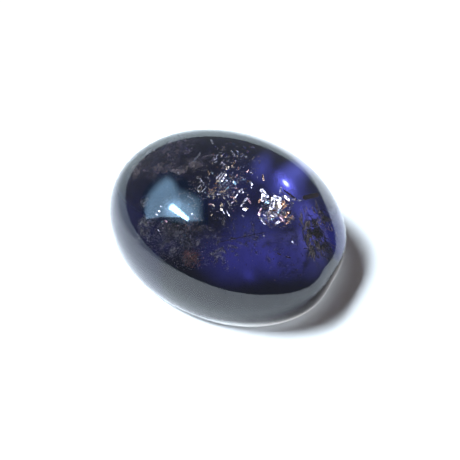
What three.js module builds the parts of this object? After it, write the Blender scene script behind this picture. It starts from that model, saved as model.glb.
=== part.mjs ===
// Oval iolite cabochon: a polished violet gemstone with a high dome, a lower
// edge that rounds in to a flat base, and one end cut a little short.
// Units are millimetres, +Z is up, +X runs along the long axis to the short
// end, and the origin is on the flat base under the top of the dome.
import * as THREE from 'three';

// Driving dimensions
const halfLength = 5;      // from the middle to the full end, at the girdle
const halfWidth = 3.97;
const height = 4.22;       // base to the top of the dome
const girdleHeight = 1.3;  // base to the widest line
const edgeTuck = 0.54;     // how far the edge rounds in between girdle and base

// The end towards +X was ground shorter, with a small flat at its tip, and the
// dome runs down to it in a straighter slope. Each is strongest at one turn
// round the oval and fades over some degrees to both sides.
const shortEnd = { at: 10, wide: 42.6, by: 0.077 };
const tipFlat = { at: 10, wide: 14.4, by: 0.029 };
const endSlope = { at: 10, wide: 37.4, by: 0.66 };

// Fineness of the mesh
const turnSteps = 96;
const domeSteps = 12;
const edgeSteps = 6;

function strength(end, turn) {
  const away = (turn * 180) / Math.PI - end.at;
  return end.by * Math.exp(-((away / end.wide) ** 2));
}

// Outline of the girdle: an ellipse, drawn in at the short end.
function girdleRadius(turn) {
  const ellipse = 1 / Math.hypot(Math.cos(turn) / halfLength, Math.sin(turn) / halfWidth);
  return ellipse * (1 - strength(shortEnd, turn) - strength(tipFlat, turn));
}

// How far the surface is from the upright axis at one turn and one height.
function radiusAt(turn, z) {
  const girdle = girdleRadius(turn);
  if (z <= girdleHeight) {
    const below = (girdleHeight - z) / girdleHeight;
    return girdle - edgeTuck * (1 - Math.sqrt(Math.max(0, 1 - below ** 2)));
  }
  const climb = (z - girdleHeight) / (height - girdleHeight);
  const power = 2 - strength(endSlope, turn) * (1 - climb ** 2);
  return girdle * (1 - climb ** power) ** (1 / power);
}

// Heights from the middle of the base round to the top. The first number is 0
// on the axis and 1 on the surface away from it.
function sectionPoints() {
  const points = [new THREE.Vector2(0, 0)];
  for (let i = 0; i < edgeSteps; i += 1) {
    points.push(new THREE.Vector2(1, girdleHeight * (1 - Math.cos((Math.PI / 2) * (i / edgeSteps)))));
  }
  for (let i = 0; i < domeSteps; i += 1) {
    const climb = Math.sin((Math.PI / 2) * (i / domeSteps));
    points.push(new THREE.Vector2(1, girdleHeight + (height - girdleHeight) * climb));
  }
  points.push(new THREE.Vector2(0, height));
  return points;
}

function cabochonGeometry() {
  const geometry = new THREE.LatheGeometry(sectionPoints(), turnSteps);
  geometry.rotateX(Math.PI / 2);
  const corners = geometry.attributes.position;
  for (let i = 0; i < corners.count; i += 1) {
    const offAxis = Math.hypot(corners.getX(i), corners.getY(i)) > 0.5;
    const turn = Math.atan2(corners.getY(i), corners.getX(i));
    const radius = offAxis ? radiusAt(turn, corners.getZ(i)) : 0;
    corners.setXY(i, radius * Math.cos(turn), radius * Math.sin(turn));
  }
  geometry.computeVertexNormals();
  return geometry;
}

// Polished iolite: glossy, see-through and deep violet blue.
const polishedIolite = new THREE.MeshStandardMaterial({
  name: 'polished iolite',
  color: new THREE.Color(0.1, 0.09, 0.3),
  roughness: 0.05,
  metalness: 0,
  transparent: true,
  opacity: 0.85,
});

const stone = new THREE.Mesh(cabochonGeometry(), polishedIolite);
stone.name = 'iolite_cabochon';

const part = new THREE.Group();
part.add(stone);

export default part;
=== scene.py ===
from math import atan2, cos, exp, hypot, pi, radians, sin, sqrt

import bpy
from mathutils import Matrix, Quaternion, Vector


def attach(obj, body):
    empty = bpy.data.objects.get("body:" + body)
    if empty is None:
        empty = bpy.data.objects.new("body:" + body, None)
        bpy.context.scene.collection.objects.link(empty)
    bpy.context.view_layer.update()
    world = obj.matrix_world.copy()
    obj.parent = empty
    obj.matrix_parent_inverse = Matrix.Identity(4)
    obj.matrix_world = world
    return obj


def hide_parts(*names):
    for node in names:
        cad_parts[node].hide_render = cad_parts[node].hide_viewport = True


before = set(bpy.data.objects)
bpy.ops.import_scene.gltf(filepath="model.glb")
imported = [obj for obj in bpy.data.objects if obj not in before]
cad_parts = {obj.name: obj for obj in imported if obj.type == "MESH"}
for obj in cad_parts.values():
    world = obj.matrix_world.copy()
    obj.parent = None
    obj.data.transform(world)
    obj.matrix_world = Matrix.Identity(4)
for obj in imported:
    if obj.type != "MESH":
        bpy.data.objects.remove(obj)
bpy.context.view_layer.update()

# Oval iolite cabochon with metallic platelets inside, on a white table.
# The frame is in metres, so a size is a count of millimetres times mm. The pieces grown inside
# give theirs in millimetres, and growInside multiplies them.
mm = 0.001


# a sum of two values as one Math node; swapped where the plain number stands first
def mathNode(operation, swapped=False):
    def write(self, other):
        pair = [other, self] if swapped else [self, other]
        return self.maker.calc(operation, *pair)

    return write


# a socket that writes its sums as Math nodes
class Wire:
    __add__, __radd__ = mathNode("ADD"), mathNode("ADD", True)
    __sub__, __rsub__ = mathNode("SUBTRACT"), mathNode("SUBTRACT", True)
    __mul__, __rmul__ = mathNode("MULTIPLY"), mathNode("MULTIPLY", True)
    __truediv__, __rtruediv__ = mathNode("DIVIDE"), mathNode("DIVIDE", True)
    __pow__ = mathNode("POWER")
    __lt__, __gt__ = mathNode("LESS_THAN"), mathNode("GREATER_THAN")

    def __init__(self, maker, socket):
        self.maker = maker
        self.socket = socket

    def out(self, name):
        found = next(s for s in self.socket.node.outputs if s.name == name and s.enabled)
        return Wire(self.maker, found)


# makes any node from its short type, what goes in its sockets and its settings
class NodeMaker:
    prefixes = ("ShaderNode", "GeometryNode", "FunctionNode", "")

    def __init__(self, tree):
        self.tree = tree

    def node(self, kind, inputs=(), **settings):
        known = next(first + kind for first in self.prefixes if hasattr(bpy.types, first + kind))
        made = self.tree.nodes.new(known)
        for name, value in settings.items():
            setattr(made, name, value)
        sockets = [s for s in made.inputs if s.enabled]
        pairs = inputs.items() if isinstance(inputs, dict) else enumerate(inputs)
        for key, value in pairs:
            socket = sockets[key] if isinstance(key, int) else next(s for s in sockets if s.name == key)
            if isinstance(value, Wire):
                self.tree.links.new(value.socket, socket)
            else:
                socket.default_value = value
        shown = [s for s in made.outputs if s.enabled]
        return Wire(self, shown[0]) if shown else made

    def ramp(self, share, stops):  # colours along a share from 0 to 1
        ramp = self.node("ValToRGB", [share])
        elements = ramp.socket.node.color_ramp.elements
        while len(elements) < len(stops):
            elements.new(0.5)
        for element, (place, colour) in zip(elements, stops):
            element.position = place
            element.color = (*colour, 1)
        return ramp

    def calc(self, operation, *inputs):
        return self.node("Math", inputs, operation=operation)

    def vector(self, operation, *inputs):
        return self.node("VectorMath", inputs, operation=operation)

    def parts(self, value):
        split = self.node("SeparateXYZ", [value])
        return split, split.out("Y"), split.out("Z")

    def mixColour(self, share, *colours):
        ends = [colour if isinstance(colour, Wire) else (*colour, 1) for colour in colours]
        return self.node("Mix", [share, *ends], data_type="RGBA", clamp_factor=False)

    def smooth(self, value, low, high):  # 0 below low, 1 above high, eased between
        inputs = {"Value": value, "From Min": low, "From Max": high}
        return self.node("MapRange", inputs, interpolation_type="SMOOTHSTEP")

    def noise(self, place, scale, detail):
        return self.node("TexNoise", {"Vector": place, "Scale": scale, "Detail": detail})

    def clamp(self, value):  # between 0 and 1
        return self.node("Clamp", {"Value": value})

    def objectPlace(self):
        return self.node("TexCoord").out("Object")

    def attribute(self, name):
        return self.node("Attribute", attribute_name=name).out("Fac")

    def store(self, geometry, name, value, domain):
        inputs = {"Geometry": geometry, "Name": name, "Value": value}
        return self.node("StoreNamedAttribute", inputs, data_type="FLOAT", domain=domain)

    def surface(self, inputs, **more):  # the shader of a material, and a volume where one is given
        shader = self.node("BsdfPrincipled", inputs)
        self.node("OutputMaterial", {"Surface": shader, **more})


def newMaterial(name):
    material = bpy.data.materials.new(name)
    material.use_nodes = True
    material.node_tree.nodes.clear()
    return material, NodeMaker(material.node_tree)


def addObject(name, data, material=None):
    made = bpy.data.objects.new(name, data)
    bpy.context.scene.collection.objects.link(made)
    if material:
        data.materials.append(material)
    return made


# puts a camera or a lamp in a direction away from a point, looking back at it
def standOff(made, point, direction, distance):
    made.location = point + direction * distance
    made.rotation_mode = "QUATERNION"
    made.rotation_quaternion = (-direction).to_track_quat("-Z", "Y")


# Camera: the photograph's frame is 460 x 460 pixels
camera = {
    "turn": radians(39.55),
    "rise": radians(45),
    "distance": 100 * mm,
    "target": Vector((0.012, -0.077, 1.199)) * mm,
    "lens": 209,
    "sensor": 36,
    "picture": 460,
    "sees": (10 * mm, 10),
}


def makeCamera(c):
    towards = Vector((sin(c["turn"]) * cos(c["rise"]),
                      -cos(c["turn"]) * cos(c["rise"]), sin(c["rise"])))
    lens = bpy.data.cameras.new("photoCamera")
    lens.lens = c["lens"]
    lens.sensor_width = c["sensor"]
    lens.clip_start, lens.clip_end = c["sees"]
    made = addObject("photoCamera", lens)
    standOff(made, c["target"], towards, c["distance"])
    bpy.context.scene.camera = made
    bpy.context.view_layer.update()
    return made


photoCamera = makeCamera(camera)
print("camera made")


# a direction given as the photograph shows it: degrees right of straight away from the camera, and up
def roomDirection(right, rise):
    sideways, up = radians(right), radians(rise)
    across, away = sin(sideways) * cos(up), cos(sideways) * cos(up)
    cosTurn, sinTurn = cos(camera["turn"]), sin(camera["turn"])
    return Vector((across * cosTurn - away * sinTurn, across * sinTurn + away * cosTurn, sin(up)))


# Stone: the same surface as the CAD node, in a mesh fine enough to mirror cleanly
stone = {
    "halfLength": 5 * mm,
    "halfWidth": 3.97 * mm,
    "height": 4.22 * mm,
    "girdleHeight": 1.3 * mm,
    "edgeTuck": 0.54 * mm,
    # the end towards +X is ground short, with a small flat and a straighter slope
    "shortEnd": {"at": 10, "wide": 42.6, "by": 0.077},
    "tipFlat": {"at": 10, "wide": 14.4, "by": 0.029},
    "endSlope": {"at": 10, "wide": 37.4, "by": 0.66},
    "turnSteps": 300,
    "sectionSteps": 230,
    "waviness": 0.002 * mm,
    # a hair smaller than the CAD node, which has flat facets between its corners
    "lengthShare": 0.998,
    "widthShare": 0.999,
    "ior": 1.54,
}


# sums with plain numbers, where NodeMaker writes them as nodes
class PlainMaths:
    known = {"COSINE": cos, "SINE": sin, "EXPONENT": exp, "ARCTAN2": atan2,
             "MAXIMUM": max, "MINIMUM": min}

    def calc(self, operation, *inputs):
        return self.known[operation](*inputs)


# strongest at one turn round the stone, fading to both sides
def endStrength(maths, turn, end):
    away = (turn - radians(end["at"])) / radians(end["wide"])
    return maths.calc("EXPONENT", away * away * -1.0) * end["by"]


def girdleReach(maths, turn, s):
    long, short = maths.calc("COSINE", turn) / s["halfLength"], maths.calc("SINE", turn) / s["halfWidth"]
    oval = (long * long + short * short) ** -0.5
    return oval * (1 - endStrength(maths, turn, s["shortEnd"]) - endStrength(maths, turn, s["tipFlat"]))


def domePower(maths, turn, climb, s):  # 2 is an ellipse, less is a straighter slope
    return 2 - endStrength(maths, turn, s["endSlope"]) * (1 - climb * climb)


def skinShare(maths, x, y, z, s):  # below 1 inside the stone, above 1 outside
    turn = maths.calc("ARCTAN2", y, x)
    low = maths.calc("MINIMUM", maths.calc("MAXIMUM", 1 - z / s["girdleHeight"], 0.0), 1.0)
    high = maths.calc("MAXIMUM", z - s["girdleHeight"], 0.0) / (s["height"] - s["girdleHeight"])
    power = domePower(maths, turn, maths.calc("MINIMUM", high, 1.0), s)
    reach = girdleReach(maths, turn, s) - s["edgeTuck"] * (1 - (1 - low * low) ** 0.5)
    return ((x * x + y * y) ** 0.5 / reach) ** power + high ** power


# Where a pixel of the photograph looks inside the stone
def pixelDirection(x, y):
    half = camera["sensor"] / 2 / camera["lens"]
    middle = camera["picture"] / 2
    return (photoCamera.matrix_world.to_quaternion()
            @ Vector(((x - middle) / middle * half, (middle - y) / middle * half, -1))).normalized()


# where a ray meets the polished surface, and which way that faces
def skinHit(origin, direction, outward=False):
    def share(point):
        return skinShare(PlainMaths(), *point, stone)

    if outward:
        within, beyond = 0.0, 12 * mm
    else:
        beyond = camera["distance"] - 8 * mm
        within = beyond + 0.1 * mm
        while share(origin + direction * within) > 1 and within < camera["distance"] + 8 * mm:
            beyond, within = within, within + 0.1 * mm
    for _ in range(30):
        middle = (within + beyond) / 2
        if share(origin + direction * middle) > 1:
            beyond = middle
        else:
            within = middle
    point = origin + direction * within
    steps = [Vector((0.001, 0, 0)) * mm, Vector((0, 0.001, 0)) * mm, Vector((0, 0, 0.001)) * mm]
    return point, Vector([share(point + step) - share(point - step) for step in steps]).normalized()


def bendRay(direction, normal, ratio):  # refraction, with the normal against the ray
    facing = -direction.dot(normal)
    rest = max(1 - ratio * ratio * (1 - facing * facing), 0)
    return (direction * ratio + normal * (ratio * facing - sqrt(rest))).normalized()


def lookInside(x, y):
    direction = pixelDirection(x, y)
    point, normal = skinHit(photoCamera.location, direction)
    return point, bendRay(direction, normal, 1 / stone["ior"])


def inside(x, y, depth):
    point, direction = lookInside(x, y)
    return point + direction * depth


def lightInside(point, lightDirection):  # the direction inside the stone that leads out to a light
    towards = lightDirection
    for _ in range(4):
        _, normal = skinHit(point, towards, outward=True)
        towards = -bendRay(-lightDirection, normal, 1 / stone["ior"])
    return towards


def flashNormal(x, y, depth, lightDirection):  # a mirror there with this normal shows the light
    _, direction = lookInside(x, y)
    return (lightInside(inside(x, y, depth), lightDirection) - direction).normalized()


def mirrored(x, y):  # where the polished dome shows the room to a pixel
    direction = pixelDirection(x, y)
    _, normal = skinHit(photoCamera.location, direction)
    return (direction - normal * 2 * direction.dot(normal)).normalized()


def underStone(x, y):  # the point of the table that a pixel shows through the base
    point, direction = lookInside(x, y)
    return point - direction * (point.z / direction.z)


def offTheBase(x, y):  # the direction in which a pixel looks out at the back, by way of the base
    _, direction = lookInside(x, y)
    onward = Vector((direction.x, direction.y, -direction.z))
    _, normal = skinHit(underStone(x, y), onward, outward=True)
    return bendRay(onward, -normal, stone["ior"])


# Room: a white table under a window on the left, in an otherwise dark room.
# Directions are pairs of degrees: right of straight away from the camera, and up.
# The window and the sun patch in it are drawn where the photograph shows their reflections.
room = {
    "tableRadius": 2500 * mm,
    "tableDrop": 0.02 * mm,
    "tableColour": (0.78, 0.8, 0.82),
    "tableShadedColour": (0.35, 0.38, 0.38),
    "tableFarDirection": (-38, 0),
    "tableFarReach": (5 * mm, 16 * mm),
    "paintedPoolColour": (0.42, 0.5, 1.0),
    "poolMottle": 0.2,
    "poolStretch": 1.3,
    # painted light: pools that the table emits under the stone, standing in for light that the dome gathers
    # there; the brightest is a painted highlight
    "paintedLightPools": [  # pixels of both ends, width and glow
        ((250, 167), (273, 168), 0.6 * mm, 0.64),
        ((277, 168), (300, 190), 0.9 * mm, 1.15),
        ((279, 176.5), (291, 186.5), 0.12 * mm, 1.6),
        ((281.8, 178.8), (288.4, 184.4), 0.05 * mm, 26),
        ((268, 200), (318, 214), 0.9 * mm, 0.42),
        ((225, 222), (285, 228), 0.8 * mm, 0.4),
        ((218, 168), (256, 206), 1.2 * mm, 0.16),
        ((259, 213), (282, 218), 0.25 * mm, 0.7),
    ],
    # painted reflection: a glow on the table beside the short end, seen only in mirrors
    "footReach": (0.15 * mm, 1.7 * mm),
    "footDirection": (1, -0.1, 0),
    "footSpread": (0.3, 0.8),
    "paintedFootGlow": 0.55,
    "paintedFootColour": (0.95, 0.98, 1),
    "cardDistance": 900 * mm,
    "lampDistance": 1500 * mm,
    "lampDirection": (-74, 46.5),
    "lampSize": (1100 * mm, 900 * mm),
    "lampPower": 118,
    "lampColour": (0.88, 0.98, 1.06),
    "windowPixels": [(168, 171), (143, 197), (145.5, 220.5), (181, 218.5), (187, 197), (178, 177)],
    "windowSoft": [10, 2.5, 1.5, 2, 7, 7],
    "sidePanePixels": [(176, 184), (169, 214), (188, 222), (206, 222.5), (206, 197)],
    "sidePaneSoft": [2, 2, 2, 6, 8],
    "sidePaneShare": 0.62,
    "cardMargin": 1.1,
    "cardPixels": [(168, 171), (143, 197), (145, 220), (188, 223), (206, 223), (205, 200), (179, 177)],
    "windowGlow": 3.7,
    "windowColour": (0.55, 0.95, 1.4),
    "throughGlow": 2.2,
    "sunPixels": [(172, 201), (166, 208.5), (189, 223), (191.5, 218.5)],
    "sunSoft": [5, 3, 3, 4],
    "sunGlow": 110,
    "haloReach": 16,
    "haloGlow": 6,
    "flashPixel": (285, 181.5),
    "flashReach": 7.5,
    "flashGlow": 38,
    "flashHaloReach": 24,
    "flashHaloGlow": 1.5,
    "backCorners": [(24, 4), (-100, 4), (-100, 80), (24, 80)],
    "backSpots": [  # pixel, reach in degrees and glow
        ((228, 258), 12, 0.68),
        ((255, 250), 13, 0.88),
        ((285, 248), 14, 0.95),
        ((312, 248), 15, 0.7),
        ((249, 275), 2.2, 1.6),
        ((168, 241), 6, 0.35),
    ],
    "backMottle": 0.5,
    "mirrorRoomGlow": 0.27,
    "backColour": (0.95, 1, 1.05),
    "insideGlow": 0.05,
    "underStoneGlow": 0.1,
    "shadowGlow": 0.12,
}
flashDirection = offTheBase(*room["flashPixel"])


# the white table: darker towards the back left by painted shade, with painted pools of light under the
# stone and a painted glow beside its short end
def makeTable(r):
    steps = 64
    turns = [2 * pi * i / steps for i in range(steps)]
    ring = [(r["tableRadius"] * cos(t), r["tableRadius"] * sin(t), -r["tableDrop"]) for t in turns]
    mesh = bpy.data.meshes.new("whiteTable")
    mesh.from_pydata(ring, [], [list(range(steps))])
    material, maker = newMaterial("whiteTable")
    place = maker.objectPlace()
    across, along, _ = maker.parts(place)
    glow = 0.0  # painted light: glowing pools on the table under the stone, standing in for light that the dome gathers there
    for start, end, wide, strength in r["paintedLightPools"]:
        first, second = underStone(*start), underStone(*end)
        middle = (first + second) / 2
        long = (second - first).length / 2
        cosTurn, sinTurn = (second.x - first.x) / long / 2, (second.y - first.y) / long / 2
        offX, offY = across - middle.x, along - middle.y
        poolX = (offX * cosTurn + offY * sinTurn) / (long * r["poolStretch"])
        poolY = (offY * cosTurn - offX * sinTurn) / wide
        fade = 1 - maker.smooth((poolX * poolX + poolY * poolY) ** 0.5, 0.0, 1.0)
        glow = fade * strength + glow
    mottle = maker.noise(place, 4500.0, 3.0)
    glow = glow * (1 + (mottle - 0.5) * 4 * r["poolMottle"])
    # painted shade: the table is darker towards the back left, standing in for light falling off there
    away = maker.vector("DOT_PRODUCT", place, roomDirection(*r["tableFarDirection"]))
    paintedFalloff = maker.smooth(away, *r["tableFarReach"])
    colour = maker.mixColour(paintedFalloff, r["tableColour"], r["tableShadedColour"])
    lit = maker.mixColour(glow, (0, 0, 0), r["paintedPoolColour"])
    # painted reflection: beside the short end the table glows, seen only in mirrors, standing in for the
    # light that comes through the stone and that the lower edge mirrors
    turn = maker.calc("ARCTAN2", along, across)
    off = (across * across + along * along) ** 0.5 - girdleReach(maker, turn, stone) + stone["edgeTuck"]
    facing = maker.vector("DOT_PRODUCT", maker.vector("NORMALIZE", place), r["footDirection"])
    spread = maker.smooth(facing, *r["footSpread"])
    paintedFootLight = (1 - maker.smooth(off, *r["footReach"])) * spread * r["paintedFootGlow"]
    mirrorOnly = maker.node("LightPath").out("Is Glossy Ray")
    lit = maker.vector("ADD", lit, maker.vector("SCALE", r["paintedFootColour"], paintedFootLight * mirrorOnly))
    maker.surface({"Base Color": colour, "Roughness": 0.8, "Specular IOR Level": 0.2,
                   "Emission Color": lit, "Emission Strength": 1.0})
    table = addObject("whiteTable", mesh, material)


# a bright card that only some rays see, made from the directions of its corners;
# pattern works out its brightness from the direction it is seen in
def makeCard(name, corners, distance, colour, seenBy, pattern):
    mesh = bpy.data.meshes.new(name)
    mesh.from_pydata([corner * distance for corner in corners], [], [list(range(len(corners)))])
    material, maker = newMaterial(name)
    towards = maker.vector("NORMALIZE", maker.objectPlace())
    # dark to light that a dull surface has scattered
    shown = maker.node("LightPath").out("Diffuse Depth") < 0.5
    shader = maker.node("Emission",
                        {"Color": (*colour, 1), "Strength": pattern(maker, towards) * shown})
    maker.node("OutputMaterial", {"Surface": shader})
    card = addObject(name, mesh, material)
    card.visible_camera = False
    card.visible_diffuse = False
    card.visible_glossy = seenBy == "glossy"
    card.visible_transmission = seenBy == "transmission"
    card.visible_shadow = False


# full inside the edges of an outline, fading over some degrees inside each edge
def fadedOutline(maker, towards, corners, softness):
    middle = sum(corners, Vector()).normalized()
    shown = 1.0
    for first, second, soft in zip(corners, corners[1:] + corners[:1], softness):
        inward = first.cross(second).normalized()
        if inward.dot(middle) < 0:
            inward = -inward
        shown = maker.smooth(maker.vector("DOT_PRODUCT", towards, inward), 0.0, radians(soft)) * shown
    return shown


def roundSpot(maker, towards, middle, reach):  # brightest at its middle, gone at reach degrees
    facing = maker.vector("DOT_PRODUCT", towards, middle)
    return maker.smooth(facing, cos(radians(reach)), cos(radians(reach * 0.15)))


def makeWindow(r):
    corners = [mirrored(*pixel) for pixel in r["windowPixels"]]
    sideCorners = [mirrored(*pixel) for pixel in r["sidePanePixels"]]
    sunny = [mirrored(*pixel) for pixel in r["sunPixels"]]
    sunMiddle = sum(sunny, Vector()).normalized()

    def mirroredPattern(maker, towards):
        cloud = maker.noise(towards, 4.0, 2.0)
        side = fadedOutline(maker, towards, sideCorners, r["sidePaneSoft"]) * r["sidePaneShare"]
        panes = maker.calc("MAXIMUM", fadedOutline(maker, towards, corners, r["windowSoft"]), side)
        halo = roundSpot(maker, towards, sunMiddle, r["haloReach"])
        halo = halo * halo * (panes * 0.8 + 0.2)
        sun = fadedOutline(maker, towards, sunny, r["sunSoft"]) * r["sunGlow"]
        lit = panes * (0.8 + cloud * 0.4) * r["windowGlow"] + halo * r["haloGlow"] + sun
        return lit + r["mirrorRoomGlow"] * 0.9

    around = [mirrored(*pixel) for pixel in r["cardPixels"]]
    middle = sum(around, Vector()) / len(around)
    edges = [(corner - middle) * r["cardMargin"] + middle for corner in around]
    makeCard("window", edges, r["cardDistance"], r["windowColour"], "glossy", mirroredPattern)


# what the light inside the stone comes from: the window, its sunny middle that makes the platelets
# flash, and the spots of the room behind the stone that light its violet parts
def makeBackWall(r):
    panes = [mirrored(*pixel) for pixel in r["windowPixels"]]

    def pattern(maker, towards):
        glow = 0.0
        for pixel, reach, strength in r["backSpots"]:
            glow = roundSpot(maker, towards, offTheBase(*pixel), reach) * strength + glow
        mottle = maker.noise(towards, 16.0, 4.0)
        glow = glow * (1 + (mottle - 0.5) * 4 * r["backMottle"]) + r["insideGlow"]
        flash = roundSpot(maker, towards, flashDirection, r["flashReach"]) * r["flashGlow"]
        halo = roundSpot(maker, towards, flashDirection, r["flashHaloReach"]) * r["flashHaloGlow"]
        return fadedOutline(maker, towards, panes, r["windowSoft"]) * r["throughGlow"] + glow + flash + halo

    corners = [roomDirection(*corner) for corner in r["backCorners"]]
    makeCard("backWall", corners, r["cardDistance"], r["backColour"], "transmission", pattern)


def makeLamp(r):
    light = bpy.data.lights.new("keyLamp", "AREA")
    light.shape = "RECTANGLE"
    light.size, light.size_y = r["lampSize"]
    light.energy = r["lampPower"]
    light.color = r["lampColour"]
    lamp = addObject("keyLamp", light)
    standOff(lamp, Vector(), roomDirection(*r["lampDirection"]), r["lampDistance"])
    lamp.visible_glossy = False
    lamp.visible_transmission = False


# pale to the camera, dim in every mirror and inside the stone, a warm fill in the shadow
def makeWorld(r):
    world = bpy.data.worlds.new("room")
    world.use_nodes = True
    world.node_tree.nodes.clear()
    maker = NodeMaker(world.node_tree)
    path = maker.node("LightPath")

    def backdrop(colour, strength):
        return maker.node("Background", {"Color": (*colour, 1), "Strength": strength})

    scattered = path.out("Diffuse Depth") > 0.5
    inStone = backdrop((1, 0.95, 0.9), scattered * r["underStoneGlow"] + r["insideGlow"])
    inShadow = backdrop((1, 0.82, 0.8), r["shadowGlow"])
    inMirror = backdrop((0.9, 1, 1.1), r["mirrorRoomGlow"])
    dull = maker.node("MixShader", [path.out("Is Diffuse Ray"), inStone, inShadow])
    indoors = maker.node("MixShader", [path.out("Is Glossy Ray"), dull, inMirror])
    overexposed = backdrop((1, 1, 1), 1.2)
    mixed = maker.node("MixShader", [path.out("Is Camera Ray"), indoors, overexposed])
    maker.node("OutputWorld", {"Surface": mixed})
    bpy.context.scene.world = world


makeTable(room)
makeLamp(room)
makeWorld(room)
makeWindow(room)
makeBackWall(room)
bpy.context.scene.view_settings.view_transform = "Standard"
print("room made")


# a tree with one named input for each value that it is run with
def geometryTree(name, values):
    kinds = {int: "NodeSocketInt", float: "NodeSocketFloat", Vector: "NodeSocketVector"}
    tree = bpy.data.node_groups.new(name, "GeometryNodeTree")
    for label, value in values.items():
        tree.interface.new_socket(label, in_out="INPUT", socket_type=kinds[type(value)])
    tree.interface.new_socket("Geometry", in_out="OUTPUT", socket_type="NodeSocketGeometry")
    maker = NodeMaker(tree)
    return tree, maker, maker.node("NodeGroupInput")


# runs a tree on an empty mesh and keeps what it makes as a plain mesh
def meshFromTree(name, tree, values):
    carrier = addObject(name, bpy.data.meshes.new(name))
    modifier = carrier.modifiers.new("rule", "NODES")
    modifier.node_group = tree
    for item in tree.interface.items_tree:
        if item.in_out == "INPUT":
            modifier[item.identifier] = values[item.name]
    bpy.context.view_layer.update()
    graph = bpy.context.evaluated_depsgraph_get()
    plain = bpy.data.meshes.new_from_object(carrier.evaluated_get(graph))
    carrier.modifiers.remove(modifier)
    carrier.data = plain
    plain.name = name
    print(name, len(plain.polygons), "faces")
    return carrier


def stoneTree(values, material):
    tree, maker, given = geometryTree("cabochonRule", values)
    height, girdle, tuck = given.out("Height"), given.out("Girdle Height"), given.out("Edge Tuck")
    sizes = {**stone, "halfLength": given.out("Half Length"), "halfWidth": given.out("Half Width")}
    grid = maker.node("MeshGrid",
                      {"Size X": 1.0, "Size Y": 1.0, "Vertices X": given.out("Turn Steps") + 1,
                       "Vertices Y": given.out("Section Steps") + 1})
    gridX, gridY, _ = maker.parts(maker.node("InputPosition"))
    turn = gridX * (2 * pi)
    along = gridY + 0.5  # 0 at the middle of the base, 1 at the top of the dome
    baseEnd, edgeEnd = 0.06, 0.3  # where the rounded edge starts and ends
    onBase = maker.clamp(along / baseEnd)
    onEdge = maker.clamp((along - baseEnd) / (edgeEnd - baseEnd)) * (pi / 2)
    onDome = maker.clamp((along - edgeEnd) / (1 - edgeEnd)) * (pi / 2)
    climb = maker.calc("SINE", onDome)
    power = domePower(maker, turn, climb, sizes)
    domeShare = maker.calc("MAXIMUM", 1 - climb ** power, 0.0) ** (1 / power)
    tuckedBase = (girdleReach(maker, turn, sizes) - tuck) * onBase
    reach = (tuckedBase + tuck * maker.calc("SINE", onEdge)) * domeShare
    rise = girdle * (1 - maker.calc("COSINE", onEdge)) + (height - girdle) * climb
    place = maker.node("CombineXYZ",
                       [reach * maker.calc("COSINE", turn), reach * maker.calc("SINE", turn), rise])
    formed = maker.node("SetPosition", {"Geometry": grid, "Position": place})
    closed = maker.node("MergeByDistance", {"Geometry": formed, "Distance": 0.0001 * mm})
    # a hand-polished surface is never quite even, with waves about 2 mm long
    position = maker.node("InputPosition")
    wave = maker.noise(position, 420.0, 1.0) - 0.5
    upper = maker.smooth(maker.parts(position)[2], 0.3 * mm, 0.9 * mm)
    normal = maker.node("InputNormal")
    shift = maker.vector("SCALE", normal, wave * given.out("Waviness") * upper * 2)
    waved = maker.node("SetPosition", {"Geometry": closed, "Offset": shift})
    soft = maker.node("SetShadeSmooth", {"Geometry": waved})
    real = maker.node("RealizeInstances", {"Geometry": soft})
    dressed = maker.node("SetMaterial", {"Geometry": real, "Material": material})
    maker.node("NodeGroupOutput", {"Geometry": dressed})
    return tree


# Polished iolite: clear, tinted by what it absorbs. Its finely ground lower edge is partly metallic, more
# so at the short end: a painted sheen that stands in for the light passing in and out by that edge.
iolite = {
    "absorbs": (0.26, 0.25, 0.62),
    "density": 620,
    "smearScale": 900,
    "polish": 0.01,  # roughness of the dome
    "base": (0.01 * mm, 0.04 * mm),  # flat and smooth
    "sandedEdge": (0.15 * mm, 0.65 * mm),
    "edgePaintedSheen": 0.37,
    "shortEnd": (1 * mm, 3.5 * mm),
    "shortEndPaintedSheen": 0.5,
}


def polishedIolite(s):
    material, maker = newMaterial("polishedIolite")
    place = maker.objectPlace()
    across, _, climb = maker.parts(place)
    flat = 1 - maker.smooth(climb, *s["base"])
    sanded = 1 - maker.smooth(climb, *s["sandedEdge"])
    smear = maker.noise(place, s["smearScale"], 3.0)
    roughness = s["polish"] + smear * 0.02 + sanded * 0.5 - flat * 0.4
    # painted sheen: the metallic share of the ground lower edge, stronger at the short end
    paintedSheen = s["edgePaintedSheen"] + maker.smooth(across, *s["shortEnd"]) * s["shortEndPaintedSheen"]
    tint = maker.node("VolumeAbsorption", {"Color": (*s["absorbs"], 1), "Density": s["density"]})
    maker.surface({"Base Color": (1, 1, 1, 1), "Metallic": (sanded - flat) * paintedSheen,
                   "Roughness": roughness, "IOR": stone["ior"], "Transmission Weight": 1.0}, Volume=tint)
    return material


def makeStone(s):
    values = {"Half Length": s["halfLength"] * s["lengthShare"],
              "Half Width": s["halfWidth"] * s["widthShare"], "Height": s["height"],
              "Girdle Height": s["girdleHeight"], "Edge Tuck": s["edgeTuck"], "Turn Steps": s["turnSteps"],
              "Section Steps": s["sectionSteps"], "Waviness": s["waviness"]}
    return meshFromTree("polishedStone", stoneTree(values, polishedIolite(iolite)), values)


polishedStone = makeStone(stone)
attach(polishedStone, "root")
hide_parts("iolite_cabochon")
print("stone made")


lowestMiddle, lowestCorner = 0.2 * mm, 0.1 * mm  # how near the base a piece may come


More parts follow.
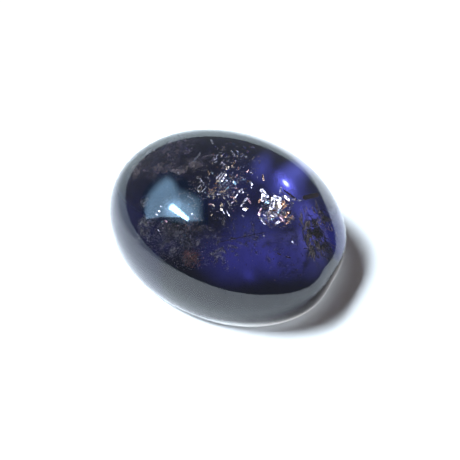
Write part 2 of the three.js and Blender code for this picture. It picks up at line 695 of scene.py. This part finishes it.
# Platelets, films and fibres grown inside the stone: one rule scatters them all
def scatterTree(values, material, shape):
    tree, maker, given = geometryTree("grownInside", values)
    seed = given.out("Seed")

    def chance(low, high, shift, kind="FLOAT"):
        inputs = {"Min": low, "Max": high, "Seed": seed + shift}
        return maker.node("RandomValue", inputs, data_type=kind)

    ball = maker.vector("NORMALIZE", chance((-1, -1, -1), (1, 1, 1), 1, "FLOAT_VECTOR"))
    out = chance(0.0, 1.0, 2) ** given.out("Gather")
    ballX, ballY, ballZ = maker.parts(maker.vector("SCALE", ball, out))
    place = given.out("Centre")
    for share, axis in ((ballX, "Across"), (ballY, "Upward"), (ballZ, "Deep")):
        place = maker.vector("ADD", place, maker.vector("SCALE", given.out(axis), share))
    points = maker.node("Points", {"Count": given.out("Count"), "Position": place})
    place = maker.node("InputPosition")
    placeX, placeY, placeZ = maker.parts(place)
    share = skinShare(maker, placeX, placeY, placeZ, stone)
    outside = maker.calc("MAXIMUM", share > given.out("Skin"), placeZ < lowestMiddle)
    kept = maker.node("DeleteGeometry", {"Geometry": points, "Selection": outside}, domain="POINT")
    if shape != "fibre":  # faces from a middle point, so that the rim can look different
        form = "MeshCylinder" if shape == "plate" else "MeshCircle"
        disc = maker.node(form, {"Vertices": given.out("Sides"), "Radius": 0.5}, fill_type="TRIANGLE_FAN")
        discX, discY, _ = maker.parts(maker.node("InputPosition"))
        outward = (discX * discX + discY * discY) ** 0.5 * 2
        grown = maker.store(disc, "rim", outward, "POINT")
    else:
        line = maker.node("CurvePrimitiveLine", {"Start": (-0.5, 0, 0), "End": (0.5, 0, 0)})
        grown = maker.node("ResampleCurve", {"Curve": line, "Count": 12})
    steps = maker.calc("FLOOR", chance(0.0, 3.0, 3))
    twist = given.out("Twist") + steps * given.out("Twist Step")
    twist = twist + chance(-1.0, 1.0, 4) * given.out("Twist Spread")
    spread = chance((-1, -1, -1), (1, 1, 1), 5, "FLOAT_VECTOR")
    spread = maker.vector("SCALE", spread, given.out("Lean Spread"))
    lean = maker.node("EulerToRotation", [maker.vector("ADD", given.out("Lean"), spread)])
    spin = maker.node("AxisAngleToRotation", {"Axis": (0, 0, 1), "Angle": twist})
    turned = maker.node("RotateRotation", [lean, spin], rotation_space="LOCAL")
    longer = (given.out("Length Max") - given.out("Length Min")) * chance(0.0, 1.0, 6) ** 2
    length = given.out("Length Min") + longer
    wider = (given.out("Width Max") - given.out("Width Min")) * chance(0.0, 1.0, 7)
    width = length * (given.out("Width Min") + wider)
    thickness = given.out("Thickness") / 2 if shape == "plate" else length
    scale = maker.node("CombineXYZ", [length, width, thickness])
    copies = maker.node("InstanceOnPoints",
                        {"Points": kept, "Instance": grown, "Rotation": turned, "Scale": scale})
    tinted = maker.store(copies, "tint", chance(0.0, 1.0, 8), "INSTANCE")
    real = maker.node("RealizeInstances", {"Geometry": tinted})
    raggedScale = 2600.0 if shape == "fibre" else 14000.0
    rough = maker.noise(maker.node("InputPosition"), raggedScale, 2.0).out("Color")
    shift = maker.vector("SCALE", maker.vector("SUBTRACT", rough, (0.5, 0.5, 0.5)), given.out("Ragged"))
    ragged = maker.node("SetPosition", {"Geometry": real, "Offset": shift})
    pull = maker.calc("MINIMUM", (given.out("Skin") / share) ** 0.75, 1.0)  # nothing reaches past the skin
    middle = (0, 0, stone["girdleHeight"])
    pulled = maker.vector("SCALE", maker.vector("SUBTRACT", place, middle), pull)
    pulledX, pulledY, pulledZ = maker.parts(maker.vector("ADD", pulled, middle))
    lifted = maker.node("CombineXYZ", [pulledX, pulledY, maker.calc("MAXIMUM", pulledZ, lowestCorner)])
    ragged = maker.node("SetPosition", {"Geometry": ragged, "Position": lifted})
    if shape == "fibre":  # thick in the middle, fine at both ends
        along = maker.node("SplineParameter")
        taper = along * (1 - along) * 4 + 0.12
        tapered = maker.node("SetCurveRadius", {"Curve": ragged, "Radius": taper})
        ring = maker.node("CurvePrimitiveCircle", {"Resolution": 5, "Radius": given.out("Thickness")})
        ragged = maker.node("CurveToMesh",
                            {"Curve": tapered, "Profile Curve": ring, "Fill Caps": True})
    dressed = maker.node("SetMaterial", {"Geometry": ragged, "Material": material})
    maker.node("NodeGroupOutput", {"Geometry": dressed})
    return tree


# metallic plates: silver to gold and copper, a few with a blue or pink film
metalTints = {"silver": 0.0, "steel": 0.35, "paleGold": 0.5, "gold": 0.62, "brown": 0.72, "copper": 0.82,
              "pink": 0.91, "cyan": 1.0}
metalColours = {"silver": (0.85, 0.85, 0.86), "steel": (0.5, 0.52, 0.54), "paleGold": (0.85, 0.76, 0.56),
                "gold": (0.66, 0.54, 0.34), "brown": (0.2, 0.14, 0.09), "copper": (0.85, 0.48, 0.26),
                "pink": (0.9, 0.6, 0.62), "cyan": (0.45, 0.8, 0.9)}


# how fine the patterns of the materials are, in blotches per metre
fineness = {"wear": 9000.0, "tarnish": 5200.0, "holes": 17000.0, "mottle": 8000.0, "specks": 12000.0}
tarnishColour = (0.42, 0.32, 0.24)


def plateMetal():
    material, maker = newMaterial("plateMetal")
    stops = [(place, metalColours[kind]) for kind, place in metalTints.items()]
    colour = maker.ramp(maker.attribute("tint"), stops)
    place = maker.objectPlace()
    worn = maker.smooth(maker.noise(place, fineness["wear"], 3.0), 0.4, 0.62)
    tarnish = maker.smooth(maker.noise(place, fineness["tarnish"], 2.0), 0.5, 0.68)
    aged = maker.mixColour(tarnish * 0.5, colour, tarnishColour)
    rim = maker.smooth(maker.attribute("rim"), 0.45, 0.85)  # the rims are brighter and have fewer holes
    lace = maker.noise(place, fineness["holes"], 2.0)
    maker.surface({"Base Color": aged, "Metallic": 1.0, "Roughness": 0.4 + worn * 0.4 - rim * 0.3,
                   "Alpha": maker.smooth(lace + rim * 0.06, 0.34, 0.46)})
    return material


def dullGrain(name, dark, light):
    material, maker = newMaterial(name)
    stops = [(0.0, dark), (0.7, light), (1.0, dark)]
    colour = maker.ramp(maker.attribute("tint"), stops)
    mottle = maker.noise(maker.objectPlace(), fineness["mottle"], 2.0)
    maker.surface({"Base Color": colour, "Metallic": 1.0, "Roughness": 0.45 + mottle * 0.4})
    return material


# the turn that stands a plate's face along a normal, with its length across the picture
def leanFor(normal, across):
    side = (across - normal * across.dot(normal)).normalized()
    return Matrix((side, normal.cross(side), normal)).transposed().to_euler()


# what a piece has unless it says otherwise; sizes in mm and angles in degrees, but leanSpread in radians
usual = {
    "turn": 0, "gather": 0.5, "width": (0.5, 1.0), "thickness": 0.0, "flashing": True, "twist": 0,
    "twistStep": 60, "twistSpread": 9, "sides": 6, "ragged": 0.0, "skin": 0.95,
}


# Scatters count pieces round a pixel of the photograph, at a depth below the skin. The reach is in
# pixels across and upward, turned by some degrees, and in mm deeper. Flashing ones face the flash.
def growInside(name, material, shape, own):
    s = {**usual, **own}
    x, y = s["pixel"]
    depth = s["depth"] * mm
    centre = inside(x, y, depth)
    look = lookInside(x, y)[1]
    turn = radians(s["turn"])
    wide, high, deep = s["reach"]
    across = inside(x + wide * cos(turn), y - wide * sin(turn), depth) - centre
    upward = inside(x - high * sin(turn), y - high * cos(turn), depth) - centre
    facing = flashNormal(x, y, depth, flashDirection) if s["flashing"] else -look
    level = inside(x + 10, y, depth) - centre
    values = {"Count": s["count"], "Seed": s["seed"], "Gather": s["gather"], "Skin": s["skin"],
              "Centre": centre, "Across": across, "Upward": upward, "Deep": look * (deep * mm),
              "Length Min": s["length"][0] * mm, "Length Max": s["length"][1] * mm,
              "Width Min": s["width"][0], "Width Max": s["width"][1], "Thickness": s["thickness"] * mm,
              "Ragged": s["ragged"] * mm, "Sides": s["sides"],
              "Lean": Vector(leanFor(facing, level)), "Lean Spread": s["leanSpread"],
              "Twist": radians(s["twist"]), "Twist Step": radians(s["twistStep"]),
              "Twist Spread": radians(s["twistSpread"])}
    grown = meshFromTree(name, scatterTree(values, material, shape), values)
    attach(grown, "root")


# Blades placed one by one where the photograph shows them flashing. A row gives the pixels of both
# ends, the width in pixels, the tint, the degrees that it is tilted out of the brightest flash,
# and its depth where that isn't the depth of the others.
def onPlane(x, y, middle, normal):
    origin, direction = lookInside(x, y)
    return origin + direction * ((middle - origin).dot(normal) / direction.dot(normal))


# a plate with broken corners: shares of its length and of half its width
bladeOutline = ((0, 0.35), (0.1, 1), (0.9, 1), (1, 0.25), (1, -0.4), (0.92, -1), (0.1, -1), (0, -0.5))


def bladeCorners(x0, y0, x1, y1, wide, tilt, depth):
    centre = (x0 + x1) / 2, (y0 + y1) / 2, depth
    middle = inside(*centre)
    normal = flashNormal(*centre, flashDirection)
    long = (onPlane(x1, y1, middle, normal) - onPlane(x0, y0, middle, normal)).normalized()
    normal.rotate(Quaternion(long, radians(tilt)))
    span = hypot(x1 - x0, y1 - y0)
    sideX, sideY = (y0 - y1) / span, (x1 - x0) / span
    corners = []
    for along, side in bladeOutline:
        reach = side * wide / 2
        x = x0 + (x1 - x0) * along + sideX * reach
        y = y0 + (y1 - y0) * along + sideY * reach
        corners.append(onPlane(x, y, middle, normal))
    return corners, normal


def placeBlades(name, blades, material, depth, thickness):
    points, faces, tints, rims = [], [], [], []
    for x0, y0, x1, y1, wide, tint, tilt, *ownDepth in blades:
        corners, normal = bladeCorners(x0, y0, x1, y1, wide, tilt, *(ownDepth or [depth]))
        if (corners[1] - corners[0]).cross(corners[2] - corners[1]).dot(normal) < 0:
            corners = corners[::-1]
        start, count = len(points), len(corners)
        middle = sum(corners, Vector()) / count
        front, back = [list(range(start + shift, start + shift + count)) for shift in (0, count)]
        for side in (0.5, -0.5):
            points += [corner + normal * thickness * side for corner in corners]
            rims += [1.0] * count
        for side in (0.5, -0.5):
            points.append(middle + normal * thickness * side)
            rims.append(0.0)
        for i in range(count):
            faces += [[front[i - 1], front[i], start + 2 * count],
                      [back[i], back[i - 1], start + 2 * count + 1],
                      [front[i - 1], back[i - 1], back[i], front[i]]]
        tints += [metalTints[tint]] * (count * 3)
    mesh = bpy.data.meshes.new(name)
    mesh.from_pydata(points, [], faces)
    mesh.attributes.new("tint", "FLOAT", "FACE").data.foreach_set("value", tints)
    mesh.attributes.new("rim", "FLOAT", "POINT").data.foreach_set("value", rims)
    placed = addObject(name, mesh, material)
    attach(placed, "root")


metal = plateMetal()
brownDust = dullGrain("brownDust", (0.12, 0.09, 0.075), (0.6, 0.5, 0.42))
greyDust = dullGrain("greyDust", (0.07, 0.065, 0.07), (0.42, 0.4, 0.39))
redDust = dullGrain("redDust", (0.12, 0.05, 0.04), (0.5, 0.26, 0.2))
darkRust = dullGrain("darkRust", (0.05, 0.035, 0.03), (0.2, 0.14, 0.11))

glintBlades = [
    (193.3, 161.9, 200.5, 152.8, 1.5, "steel", 9),
    (210.7, 139.1, 212.8, 144, 1.6, "steel", 8),
    (230.7, 150, 235.3, 156, 1.6, "steel", 8),
    (244.6, 156.2, 247.6, 157.2, 1.7, "steel", 7),
    (225.6, 169.6, 229, 166.6, 2.2, "paleGold", 4),
    (231.8, 167.2, 235.3, 160.9, 1.5, "brown", 3),
    (215.6, 178.9, 222.2, 172.3, 0.8, "silver", 3),
    (218.2, 180.6, 224, 173.2, 0.8, "silver", 3),
    (221.2, 181.6, 226.5, 174.6, 1.4, "silver", 1),
    (216.6, 181.6, 218.2, 180.6, 1.2, "gold", 2),
    (208, 170.6, 209.2, 175.2, 1.6, "brown", 3),
    (200.2, 178.4, 203.3, 183, 1.1, "steel", 6),
    (197, 188.6, 201.2, 184.7, 1.1, "steel", 6),
    (201.9, 191.8, 206.5, 186.8, 1.2, "steel", 5),
    (177.2, 172.2, 178.8, 172.9, 1.0, "silver", 4),
    (233.4, 181.4, 235.8, 184.6, 1.7, "cyan", 2),
    (226, 188.8, 228.6, 187.6, 1.2, "cyan", 5),
    (219.5, 192.2, 225.3, 191.2, 1.5, "gold", 5),
    (249.8, 181.4, 252.2, 185.2, 1.7, "silver", 0),
    (230.7, 204.7, 240.8, 189.2, 0.8, "silver", 1),
    (240.6, 190.6, 242.8, 188.6, 1.5, "silver", 0),
    (242, 192.9, 243.4, 192.2, 0.9, "silver", 1),
    (240.5, 206.5, 247.5, 198, 1.2, "silver", 3),
    (246.8, 197.6, 251.2, 203.9, 1.4, "pink", 1),
    (243, 202.4, 246, 199.2, 2.1, "steel", 6),
    (242.6, 208.6, 246.4, 210.2, 1.9, "silver", 2),
    (241.6, 215, 243.8, 216.4, 1.2, "silver", 5),
    (212.6, 204, 214.4, 206.8, 1.4, "paleGold", 1),
    (220, 206.2, 222.6, 203.8, 1.6, "gold", 4),
    (220.2, 208.6, 222.4, 210, 1.4, "paleGold", 0),
    (222.9, 211.4, 224.6, 214.2, 0.9, "silver", 1),
    (226.5, 210.7, 229.6, 216.3, 0.9, "silver", 0),
    (211, 216, 212.4, 213.8, 1.2, "gold", 5),
    (212.4, 194.4, 214, 192, 1.1, "gold", 5),
    (187.2, 196, 192.8, 199.1, 0.8, "steel", 4),
    (191.4, 213.4, 193.2, 215.2, 1.0, "silver", 0),
    (194.4, 217.4, 196.6, 219.2, 1.2, "pink", 0),
    (164.8, 220.2, 167.2, 222.2, 1.5, "pink", 0),
    (158.4, 210.2, 159.8, 211.8, 1.0, "silver", 0),
    (160.6, 206, 161.8, 207, 0.8, "silver", 0),
    (156.2, 214, 157.4, 215.2, 0.9, "silver", 2),
    (157.4, 229.4, 159.4, 231.6, 0.8, "silver", 0),
]
placeBlades("glintBlades", glintBlades, metal, depth=0.45 * mm, thickness=0.006 * mm)

clusterBlades = [
    (262.6, 174.5, 263.5, 181, 1.8, "brown", 2),
    (260.7, 189.4, 267.8, 197.6, 3.4, "silver", 0),
    (262, 201.6, 263.6, 194, 3.0, "silver", 1),
    (265.4, 204, 268.2, 201.4, 2.4, "cyan", 1),
    (258.8, 203, 260.2, 199.4, 1.9, "copper", 2),
    (258.4, 215.8, 262, 207.4, 1.7, "pink", 1),
    (258.8, 216.6, 265.3, 224.6, 1.3, "silver", 2),
    (271, 210.4, 273.8, 196.4, 3.8, "silver", 0),
    (273, 196.8, 280.8, 199.6, 3.8, "silver", 0),
    (272.6, 203.4, 279.6, 207.8, 4.2, "paleGold", 0),
    (276, 211.6, 281, 205, 2.8, "silver", 1),
    (280.4, 206.4, 284.4, 200.6, 3.4, "copper", 1),
    (282.6, 208.4, 287, 204.8, 1.8, "copper", 4),
    (284.4, 195.8, 289.2, 200.4, 2.0, "silver", 0),
    (297.6, 201, 302, 200, 1.3, "steel", 4),
    (268.6, 213.4, 277.4, 216.2, 3.2, "silver", 1),
    (275.6, 224.2, 279.4, 221, 2.0, "silver", 0),
    (284.8, 217.4, 288.4, 212, 2.0, "copper", 1),
    (287, 223.6, 292.6, 215.4, 1.3, "copper", 3),
    (282, 219.6, 286.6, 224.6, 1.2, "pink", 2),
    (280, 191.6, 281.6, 186.8, 1.1, "steel", 3),
    (291.8, 241.2, 293.4, 242.6, 1.2, "silver", 2),
    (263, 235, 264.6, 236.6, 1.2, "steel", 2),
    # a second layer behind the brightest plates
    (270.4, 199.6, 281.8, 201.8, 3.6, "silver", 0, 0.56 * mm),
    (272.4, 211, 278.4, 197.8, 3.6, "silver", 0, 0.6 * mm),
    (262.2, 189.8, 265.6, 201, 3.0, "silver", 0, 0.56 * mm),
    (263.4, 215.4, 269.8, 211.4, 2.6, "silver", 3, 0.56 * mm),
    (269.2, 219.8, 276.4, 213.8, 3.0, "pink", 3, 0.6 * mm),
    (277.4, 213.6, 283.6, 219, 2.6, "pink", 2, 0.56 * mm),
]
placeBlades("clusterBlades", clusterBlades, metal, depth=0.5 * mm, thickness=0.006 * mm)

cracks = [
    (283.6, 189.8, 296.7, 199.8, 1.6, "brown", 20),
    (302.8, 198, 319, 194.6, 4.6, "brown", 24),
    (277, 253, 281, 255, 1.2, "brown", 24),
    (286, 256.6, 291, 258, 1.2, "brown", 24),
    (215, 243, 267, 232, 0.6, "steel", 12),
]
placeBlades("hairCracks", cracks, darkRust, depth=0.7 * mm, thickness=0.004 * mm)


# Cloudy veils: thin healed cracks that catch a little light, gone at their rims. Cover is how
# much of what is behind they hide, and speckled is how broken up they are.
def veilFilm(name, colour, cover, speckled, cloudScale=1300.0, roughness=0.75):
    material, maker = newMaterial(name)
    place = maker.objectPlace()
    cloud = maker.smooth(maker.noise(place, cloudScale, 5.0), 0.36, 0.7)
    speck = maker.noise(place, fineness["specks"], 2.0)
    grain = 1 - (1 - maker.smooth(speck, 0.4, 0.6)) * speckled
    fade = 1 - maker.smooth(maker.attribute("rim"), 0.2, 0.95)
    shade = maker.mixColour(maker.smooth(speck, 0.35, 0.65), tuple(c * 0.65 for c in colour), colour)
    maker.surface({"Base Color": shade, "Metallic": 1.0, "Roughness": roughness,
                   "Alpha": cloud * grain * fade * cover})
    return material


brownVeil = veilFilm("brownVeil", (0.66, 0.58, 0.49), 1.1, 0.15, cloudScale=3000.0)
greyVeil = veilFilm("greyVeil", (0.48, 0.46, 0.42), 1.2, 0.35, cloudScale=2600.0)
mistVeil = veilFilm("mistVeil", (0.52, 0.48, 0.45), 1.0, 0.3, cloudScale=4200.0)
hazeVeil = veilFilm("hazeVeil", (0.95, 0.9, 0.98), 1.0, 0.45, cloudScale=4000.0, roughness=0.3)
featherVeil = veilFilm("featherVeil", (0.8, 0.68, 0.5), 1.2, 0.3)
featherShade = veilFilm("featherShade", (0.3, 0.25, 0.21), 1.25, 0.25, cloudScale=2600.0)
redVeil = veilFilm("redVeil", (0.7, 0.43, 0.37), 1.0, 0.3)
darkVeil = veilFilm("darkVeil", (0.16, 0.14, 0.15), 0.75, 0.1, cloudScale=4200.0)

growInside("upperVeils", brownVeil, "film", {
    "pixel": (164, 170), "depth": 0.7, "reach": (55, 37, 0.3), "turn": 10, "count": 46, "seed": 31,
    "length": (0.9, 2), "width": (0.6, 0.95), "leanSpread": 0.25, "twist": 40, "twistSpread": 40,
    "ragged": 0.12, "sides": 9, "skin": 0.8,
})

growInside("lowerVeils", greyVeil, "film", {
    "pixel": (152, 226), "depth": 0.8, "reach": (54, 34, 0.3), "turn": -36, "count": 50, "seed": 32,
    "length": (0.6, 1.4), "width": (0.5, 0.9), "leanSpread": 0.35, "twist": 40, "twistSpread": 40,
    "ragged": 0.3, "sides": 9, "skin": 0.8,
})

growInside("redVeils", redVeil, "film", {
    "pixel": (192, 260), "depth": 0.7, "reach": (7, 7, 0.2), "count": 9, "seed": 33,
    "length": (0.5, 0.8), "width": (0.5, 0.9), "leanSpread": 0.3, "twist": 70, "twistSpread": 20,
    "ragged": 0.2, "sides": 7,
})

growInside("mistVeils", mistVeil, "film", {
    "pixel": (238, 243), "depth": 0.9, "reach": (66, 30, 0.4), "turn": -6, "count": 70, "seed": 35,
    "length": (0.3, 1.0), "width": (0.2, 0.5), "leanSpread": 0.35, "twist": 25, "twistSpread": 25,
    "ragged": 0.08, "sides": 9,
})

growInside("glintHaze", hazeVeil, "film", {
    "pixel": (274, 208), "depth": 0.66, "reach": (12, 13, 0.12), "count": 30, "seed": 36,
    "length": (0.2, 0.42), "width": (0.3, 0.8), "leanSpread": 0.14, "twist": 25, "twistSpread": 40,
    "ragged": 0.06, "sides": 8,
})

growInside("darkVeils", darkVeil, "film", {
    "pixel": (278, 256), "depth": 1.2, "reach": (74, 30, 0.5), "turn": 10, "count": 76, "seed": 38,
    "length": (0.6, 1.5), "width": (0.35, 0.8), "flashing": False, "leanSpread": 0.5, "twist": -30,
    "twistSpread": 40, "ragged": 0.08, "sides": 9,
})

growInside("glintPlates", metal, "plate", {
    "pixel": (226, 184), "depth": 0.55, "reach": (34, 50, 0.25), "turn": -28, "count": 560, "seed": 4,
    "length": (0.05, 0.2), "width": (0.14, 0.38), "thickness": 0.004, "gather": 0.6, "leanSpread": 0.24,
    "twist": 55, "twistSpread": 14, "ragged": 0.012,
})

growInside("clusterPlates", metal, "plate", {
    "pixel": (278, 209), "depth": 0.6, "reach": (19, 20, 0.25), "count": 420, "seed": 9,
    "length": (0.05, 0.24), "width": (0.12, 0.36), "thickness": 0.004, "gather": 0.6,
    "leanSpread": 0.16, "twist": 55, "twistSpread": 20, "ragged": 0.02,
})

growInside("sparkDust", metal, "plate", {
    "pixel": (180, 215), "depth": 0.5, "reach": (62, 56, 0.3), "turn": -30, "count": 420, "seed": 12,
    "length": (0.025, 0.06), "thickness": 0.006, "leanSpread": 0.45, "sides": 5,
})

# grains lie any way round
loose = {"flashing": False, "thickness": 0.01, "gather": 0.4, "leanSpread": 3.0, "sides": 5}

growInside("leftDust", greyDust, "plate", {
    **loose, "pixel": (178, 234), "depth": 0.9, "reach": (46, 32, 0.5), "turn": -32, "count": 3800,
    "seed": 2, "length": (0.012, 0.04),
})

growInside("brownFlecks", brownDust, "plate", {
    "pixel": (193, 207), "depth": 0.55, "reach": (11, 34, 0.3), "turn": -6, "count": 420, "seed": 14,
    "length": (0.02, 0.07), "thickness": 0.008, "leanSpread": 0.35, "sides": 5,
})

growInside("upperHaze", brownDust, "plate", {
    **loose, "pixel": (168, 172), "depth": 0.7, "reach": (54, 40, 0.4), "turn": 20, "count": 1200,
    "seed": 3, "length": (0.015, 0.045),
})

growInside("redPatch", redDust, "plate", {
    **loose, "pixel": (192, 258), "depth": 0.6, "reach": (11, 11, 0.3), "count": 500, "seed": 6,
    "length": (0.015, 0.04),
})

growInside("darkGrains", darkRust, "plate", {
    **loose, "pixel": (275, 240), "depth": 1.3, "reach": (62, 42, 0.8), "sides": 6, "count": 200,
    "seed": 5, "length": (0.015, 0.06), "thickness": 0.02, "ragged": 0.02,
})

# Feathery fibres at the right end
growInside("featherCloud", featherShade, "film", {
    "pixel": (318, 236), "depth": 1.1, "reach": (18, 30, 0.2), "turn": 10, "count": 58, "seed": 37,
    "length": (0.4, 0.9), "width": (0.4, 0.8), "flashing": False, "leanSpread": 0.4, "twist": 40,
    "twistSpread": 40, "ragged": 0.06, "sides": 9, "skin": 0.9,
})

growInside("darkFibres", darkRust, "fibre", {
    "pixel": (318, 236), "depth": 0.8, "reach": (20, 30, 0.3), "turn": 10, "count": 70, "seed": 21,
    "length": (0.15, 0.55), "thickness": 0.016, "flashing": False, "leanSpread": 0.4, "twist": -66,
    "twistStep": 22, "twistSpread": 30, "ragged": 0.14, "skin": 0.88,
})

growInside("featherStrokes", featherVeil, "film", {
    "pixel": (315, 231), "depth": 0.7, "reach": (18, 28, 0.3), "turn": 10, "count": 90, "seed": 22,
    "length": (0.3, 0.9), "width": (0.14, 0.3), "leanSpread": 0.2, "twist": 50, "twistStep": 20,
    "twistSpread": 20, "ragged": 0.04, "skin": 0.88,
})
print("grains and plates made")
